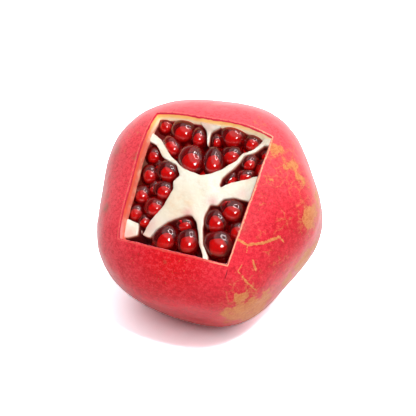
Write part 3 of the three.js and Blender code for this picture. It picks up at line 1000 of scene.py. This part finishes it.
def pith_piece():
    """The core's face between the pockets, the pocket walls and floors, and a closed underside."""
    border, pockets, middle = pith_outlines()
    rim_tree, border_tree = nearest_of(pockets), nearest_of([border])
    kept = face_points(border, pockets, border_tree, rim_tree)
    flat, triangles, pocketed = face_triangles(border, pockets, kept)
    inward = [rim_tree.find((x, y, 0.0))[2] for x, y in flat]
    heights = []
    for (x, y), to_rim in zip(flat, inward):
        heights.append(face_height(x, y, to_rim, border_tree.find((x, y, 0.0))[2]))

    points, below, rims, faces = [], [], [], []
    top_of, floor_of, under_of, ladders = {}, {}, {}, {}

    def new_point(x, y, z, depth, to_rim):
        points.append((x, y, z))
        below.append(depth)
        rims.append(to_rim)
        return len(points) - 1

    def top(i):
        if i not in top_of:
            top_of[i] = new_point(*flat[i], heights[i], 0.0, inward[i])
        return top_of[i]

    def low_point(table, i, z):
        if i not in table:
            table[i] = new_point(*flat[i], z, FLOOR_DEPTH, 0.0)
        return table[i]

    def ladder(i):
        """The wall below a rim point, from the rim to the floor."""
        if i not in ladders:
            steps = [top(i)]
            x, y = flat[i]
            for k in range(1, WALL_ROWS):
                share = k / WALL_ROWS
                z = heights[i] + (POCKET_FLOOR - heights[i]) * share
                bulge = 0.25 * share * wave((x, y, z), 3.0, 8.8)
                steps.append(new_point(x + bulge, y + bulge, z, heights[i] - z, 0.0))
            steps.append(low_point(floor_of, i, POCKET_FLOOR))
            ladders[i] = steps
        return ladders[i]

    def side_of(i, is_pocket):
        """The points down the outer side at a border point, all of the pocket wall where one ends there."""
        if is_pocket:
            return [low_point(floor_of, i, POCKET_FLOOR)]
        return ladders.get(i) or [top(i)]

    edge_use = {}
    for triangle, is_pocket in zip(triangles, pocketed):
        faces.append(tuple(low_point(floor_of, i, POCKET_FLOOR) if is_pocket else top(i) for i in triangle))
        for a, b in zip(triangle, np.roll(triangle, -1)):
            edge_use.setdefault((min(a, b), max(a, b)), []).append((a, b, is_pocket))

    for uses in edge_use.values():
        if len(uses) == 2 and uses[0][2] != uses[1][2]:
            a, b, _ = uses[0] if not uses[0][2] else uses[1]
            left, right = ladder(a), ladder(b)
            for k in range(WALL_ROWS):
                faces.append((left[k], left[k + 1], right[k + 1], right[k]))

    under_middle = new_point(*middle, UNDER_LEVEL, FLOOR_DEPTH, 0.0)
    for uses in edge_use.values():
        if len(uses) == 1:
            a, b, is_pocket = uses[0]
            lows = low_point(under_of, a, UNDER_LEVEL), low_point(under_of, b, UNDER_LEVEL)
            faces.append((*side_of(a, is_pocket), *lows, *reversed(side_of(b, is_pocket))))
            faces.append((lows[1], lows[0], under_middle))
    piece = new_piece("pith", points, faces, (PITH,), None, {"below_rim": below, "from_rim": rims})
    piece.data.set_sharp_from_angle(angle=math.radians(60))
    return piece


# ---- Arils ---------------------------------------------------------------------------------------
SAC_SWELL = 1.14  # the sacs are this much larger than the plain solids, so that they meet
SAC_LIFT = 1.1
FAR_WALL_LIFT = 1.0  # what the arils beside the far wall are lifted more
KERNEL_SHARE = 0.54
# The kernel sits this share of the sac's size lower, where light through the sac gathers; its glow there is
# painted light.
KERNEL_DROP = 0.08
DEEP_FROM = 38  # the arils from this number on lie under the others and are made coarser


def merged_copy(node):
    """A plain copy of a CAD node's mesh, its loose triangles joined up."""
    mesh = bmesh.new()
    mesh.from_mesh(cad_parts[node].data)
    bmesh.ops.remove_doubles(mesh, verts=mesh.verts, dist=1e-7)
    return mesh


def aril_piece(node, levels):
    """A full, smooth juice sac on the CAD solid, with the kernel inside it."""
    source = merged_copy(node)
    rough = bpy.data.meshes.new(node)
    source.to_mesh(rough)
    source.free()
    carrier = bpy.data.objects.new(node + "_cage", rough)
    bpy.context.scene.collection.objects.link(carrier)
    rounding = carrier.modifiers.new("rounding", "SUBSURF")
    rounding.levels = rounding.render_levels = levels
    bpy.context.view_layer.update()
    graph = bpy.context.evaluated_depsgraph_get()
    smooth_mesh = bpy.data.meshes.new_from_object(carrier.evaluated_get(graph))
    bpy.data.objects.remove(carrier)
    points = to_fruit(points_of(smooth_mesh))
    faces = [tuple(p.vertices) for p in smooth_mesh.polygons]
    centre = points.mean(0)
    by_far_wall = min(1.0, max(0.0, (centre[1] - 12) / 10))
    lifted = centre + np.array((0.0, 0.0, SAC_LIFT + FAR_WALL_LIFT * by_far_wall))
    sac = lifted + (points - centre) * SAC_SWELL
    size = np.ptp(points, axis=0)
    kernel = lifted + size * np.array((0.0, -KERNEL_DROP, 0.0)) + (points - centre) * KERNEL_SHARE
    count = len(points)
    both = np.vstack((sac, kernel))
    all_faces = faces + [tuple(i + count for i in face) for face in faces]
    kinds = [0] * len(faces) + [1] * len(faces)
    height = (both[:, 2] - kernel[:, 2].min()) / np.ptp(kernel[:, 2])
    return new_piece(node + "_juicy", both, all_faces, (SAC, KERNEL), kinds, {"kernel_height": height})


# ---- Stem ----------------------------------------------------------------------------------------
STEM_SIDES = 36
STEM_ROWS = 22
STEM_RADIUS = 3.3
STEM_SUNK = 1.5  # how far the stub's root is inside the peel
STEM_REACH = 4.0  # how far the stub stands out
BREAK_RINGS = ((0.7, 0.3), (0.35, 0.5))  # the broken end: share of the radius, and how far it is hollowed


def stem_ring(first, second):
    """The faces between two rings of points, given by the number of their first point."""
    ring = []
    for k in range(STEM_SIDES):
        following = (k + 1) % STEM_SIDES
        ring.append((first + k, second + k, second + following, first + following))
    return ring


def stem_piece():
    """The dry stub that held the fruit, with a rough broken end."""
    pole = np.linalg.norm(meridian(0.0, math.pi))
    base, tip = -pole + STEM_SUNK, -pole - STEM_REACH
    points, faces = [], []
    for row in range(STEM_ROWS):
        share = row / (STEM_ROWS - 1)
        z = base + (tip - base) * share
        radius = STEM_RADIUS - 0.9 * math.sin(min(1.0, share * 1.6) * math.pi / 2) + 0.5 * share**3
        for k in range(STEM_SIDES):
            turn = 2 * math.pi * k / STEM_SIDES
            spot = (math.cos(turn), math.sin(turn), share * 1.5)
            ridge = 1 + 0.07 * math.cos(5 * turn + share)
            ridge += 0.10 * wave(spot, 0.6, 1.0) + 0.05 * wave(spot, 0.2, 2.0)
            rough = 0.35 * wave(spot, 0.3, 4.0) * max(0.0, share - 0.8) * 5
            points.append((radius * ridge * math.cos(turn), radius * ridge * math.sin(turn), z + rough))
    for row in range(STEM_ROWS - 1):
        faces += stem_ring(row * STEM_SIDES, (row + 1) * STEM_SIDES)
    last = before = (STEM_ROWS - 1) * STEM_SIDES
    for share, lift in BREAK_RINGS:
        start = len(points)
        for x, y, z in points[last:last + STEM_SIDES]:
            points.append((x * share, y * share, z + lift + 0.15 * wave((x, y, share), 0.8, 6.0)))
        faces += stem_ring(before, start)
        before = start
    points.append((0.0, 0.0, points[-1][2]))
    points.append((0.0, 0.0, base + 0.2))
    end, root = len(points) - 2, len(points) - 1
    for k in range(STEM_SIDES):
        following = (k + 1) % STEM_SIDES
        faces.append((before + k, end, before + following))
        faces.append((k, following, root))
    return new_piece("stem_stub", points, faces, (WOOD,))


# ---- Put together --------------------------------------------------------------------------------
peel = peel_piece()
pith = pith_piece()
stem = stem_piece()
for piece, finish in ((peel, "husk"), (pith, "pith"), (stem, "husk")):
    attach(piece, "root")
    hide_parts("husk")

for node in sorted(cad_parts):
    if node.startswith("aril_"):
        number = int(node.split("_")[1])
        aril = aril_piece(node, 2 if number < DEEP_FROM else 1)
        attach(aril, "root")
        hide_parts(node)

# ---- Floor, light and camera ---------------------------------------------------------------------
CAMERA_AZIMUTH = math.radians(21.56)
CAMERA_ELEVATION = math.radians(35.0)
CAMERA_DISTANCE = 0.389
to_camera = Vector((
    math.sin(CAMERA_AZIMUTH) * math.cos(CAMERA_ELEVATION),
    -math.cos(CAMERA_AZIMUTH) * math.cos(CAMERA_ELEVATION),
    math.sin(CAMERA_ELEVATION),
))
right = Vector((0, 0, 1)).cross(to_camera).normalized()
up = to_camera.cross(right)
fruit_middle = Vector(STAND * MM)


def camera_side(across, rise, near):
    """A direction given as seen from the camera: to the right, up and towards it."""
    return (right * across + up * rise + to_camera * near).normalized()


def area_light(name, direction, distance, size, radiance):
    """A round light that points at the fruit, with an even brightness over its face."""
    lamp = bpy.data.lights.new(name, "AREA")
    lamp.shape = "DISK"
    lamp.size = size
    lamp.energy = radiance * math.pi * math.pi * (size / 2) ** 2
    holder = bpy.data.objects.new(name, lamp)
    holder.location = fruit_middle + direction * distance
    holder.rotation_euler = direction.to_track_quat("Z", "Y").to_euler()
    bpy.context.scene.collection.objects.link(holder)
    return holder


overhead = camera_side(0.23, 0.72, 0.62)
near_light = area_light("near light", camera_side(0.08, 0.06, 0.99), 2.0, 0.49, 30.0)
area_light("overhead soft light", overhead, 2.5, 4.6, 0.95)


def ring_light(direction, distance, radius, tube, radiance):
    """A glowing ring over the fruit."""
    points, faces = [], []
    around, section = 64, 8
    turn = direction.to_track_quat("Z", "Y")
    for i in range(around):
        angle = 2 * math.pi * i / around
        for j in range(section):
            part = 2 * math.pi * j / section
            reach = radius + tube * math.cos(part)
            spot = Vector((reach * math.cos(angle), reach * math.sin(angle), tube * math.sin(part)))
            points.append(fruit_middle + direction * distance + turn @ spot)
            near = i * section + (j + 1) % section, ((i + 1) % around) * section + (j + 1) % section
            faces.append((i * section + j, ((i + 1) % around) * section + j, near[1], near[0]))
    mesh = bpy.data.meshes.new("ring light")
    mesh.from_pydata(points, [], faces)
    glow = bpy.data.materials.new("ring glow")
    glow.use_nodes = True
    bench = Bench(glow.node_tree)
    glow.node_tree.nodes.remove(glow.node_tree.nodes["Principled BSDF"])
    emission = bench.node("ShaderNodeEmission", {"Strength": radiance})
    bench.feed(glow.node_tree.nodes["Material Output"].inputs["Surface"], emission.outputs[0])
    mesh.materials.append(glow)
    ring = bpy.data.objects.new("ring_light", mesh)
    ring.visible_camera = False
    ring.visible_shadow = False
    bpy.context.scene.collection.objects.link(ring)


ring_light(overhead, 2.0, 0.5, 0.04, 22.0)


FLOOR_HALF_SIZE = 0.9
FLOOR_GREY = (0.9, 0.9, 0.9, 1.0)  # what the fruit gets back from the floor
FLOOR_SEEN = (2.6, 3.2, 3.35, 1.0)  # brighter than white, so that the bare floor melts into the backdrop


def add_floor():
    """A plain pale floor, lit by the soft lights only, so that the shadow under the fruit is soft."""
    mesh = bpy.data.meshes.new("floor")
    corners = [(x * FLOOR_HALF_SIZE, y * FLOOR_HALF_SIZE, 0) for x, y in ((-1, -1), (1, -1), (1, 1), (-1, 1))]
    mesh.from_pydata(corners, [], [(0, 1, 2, 3)])
    white, bench, out = new_material("white floor", Roughness=0.7, Specular_IOR_Level=0.2)
    seen = bench.node("ShaderNodeLightPath").outputs["Is Camera Ray"]
    bench.feed(out["Base Color"], bench.mix(seen, FLOOR_GREY, FLOOR_SEEN))
    mesh.materials.append(white)
    floor = bpy.data.objects.new("floor", mesh)
    bpy.context.scene.collection.objects.link(floor)
    shaded = bpy.data.collections.new("kept out of the near light")
    shaded.objects.link(floor)
    near_light.light_linking.receiver_collection = shaded
    shaded.collection_objects[0].light_linking.link_state = "EXCLUDE"


add_floor()


def studio_world():
    """White to look at, with light that is bright behind the fruit and dim on the near side."""
    world = bpy.data.worlds.new("studio")
    world.use_nodes = True
    bpy.context.scene.world = world
    bench = Bench(world.node_tree)
    backdrop = world.node_tree.nodes["Background"]
    direction = bench.node("ShaderNodeTexCoord").outputs["Generated"]
    facing = bench.vector("DOT_PRODUCT", direction, tuple(to_camera))
    behind = bench.smooth(facing, 0.1, -0.6, 0.08, 1.5)
    camera_ray = bench.node("ShaderNodeLightPath").outputs["Is Camera Ray"]
    strength = bench.math("MULTIPLY_ADD", camera_ray, bench.math("SUBTRACT", 1.05, behind), behind)
    bench.feed(backdrop.inputs["Strength"], strength)
    backdrop.inputs["Color"].default_value = (1.0, 1.0, 1.0, 1.0)


studio_world()

camera_data = bpy.data.cameras.new("camera")
camera_data.lens = 85.0
camera_data.sensor_width = 36.0
camera = bpy.data.objects.new("camera", camera_data)
aim = fruit_middle + up * 1.14 * MM
camera.location = aim + to_camera * CAMERA_DISTANCE
camera.rotation_euler = to_camera.to_track_quat("Z", "Y").to_euler()
bpy.context.scene.collection.objects.link(camera)
bpy.context.scene.camera = camera
bpy.context.scene.view_settings.view_transform = "Standard"
